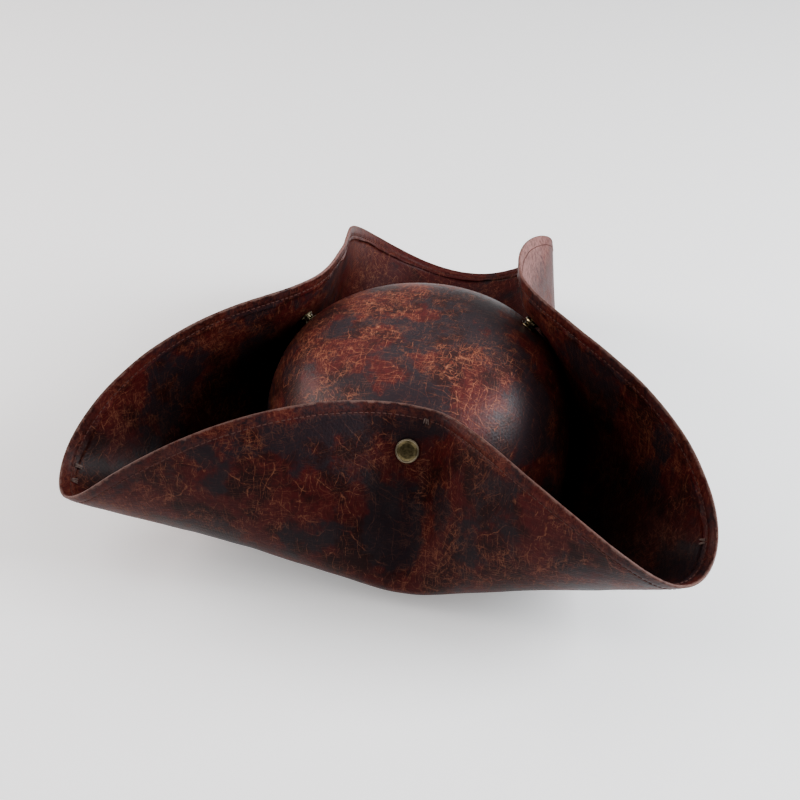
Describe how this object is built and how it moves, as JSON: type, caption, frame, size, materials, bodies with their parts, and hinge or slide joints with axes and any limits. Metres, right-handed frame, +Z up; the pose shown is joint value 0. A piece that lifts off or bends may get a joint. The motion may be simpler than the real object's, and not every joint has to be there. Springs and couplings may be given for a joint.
{
  "type": "tricorn hat of distressed faux leather",
  "caption": "Tricorn hat of distressed brown faux leather: a smooth oval dome and a wide hemmed brim folded up in flaps, held to the dome by antique brass press snaps.",
  "frame": {"origin": "centre of the bounding box's foot, on the surface that the hat rests on", "axes": "+Z up, -Y towards the front flap, +Y towards the rear corner, +X to the right as seen from the front"},
  "size_m": [0.371, 0.383, 0.1292],
  "materials": {
    "crown_leather": "distressed dark and red-brown faux leather, semi-gloss, with tan cracks",
    "brim_leather": "distressed dark and red-brown faux leather, semi-gloss, with a lighter worn edge",
    "snap_metal": "dark antique brass"
  },
  "bodies": {
    "root": {"crown": "crown_leather", "brim": "brim_leather", "snap_front_cap": "snap_metal", "snap_front_socket": "snap_metal", "snap_front_stud": "snap_metal", "snap_front_eyelet": "snap_metal", "snap_rear_left_cap": "snap_metal", "snap_rear_left_socket": "snap_metal", "snap_rear_left_stud": "snap_metal", "snap_rear_left_eyelet": "snap_metal", "snap_rear_right_cap": "snap_metal", "snap_rear_right_socket": "snap_metal", "snap_rear_right_stud": "snap_metal", "snap_rear_right_eyelet": "snap_metal"}
  },
  "joints": []
}
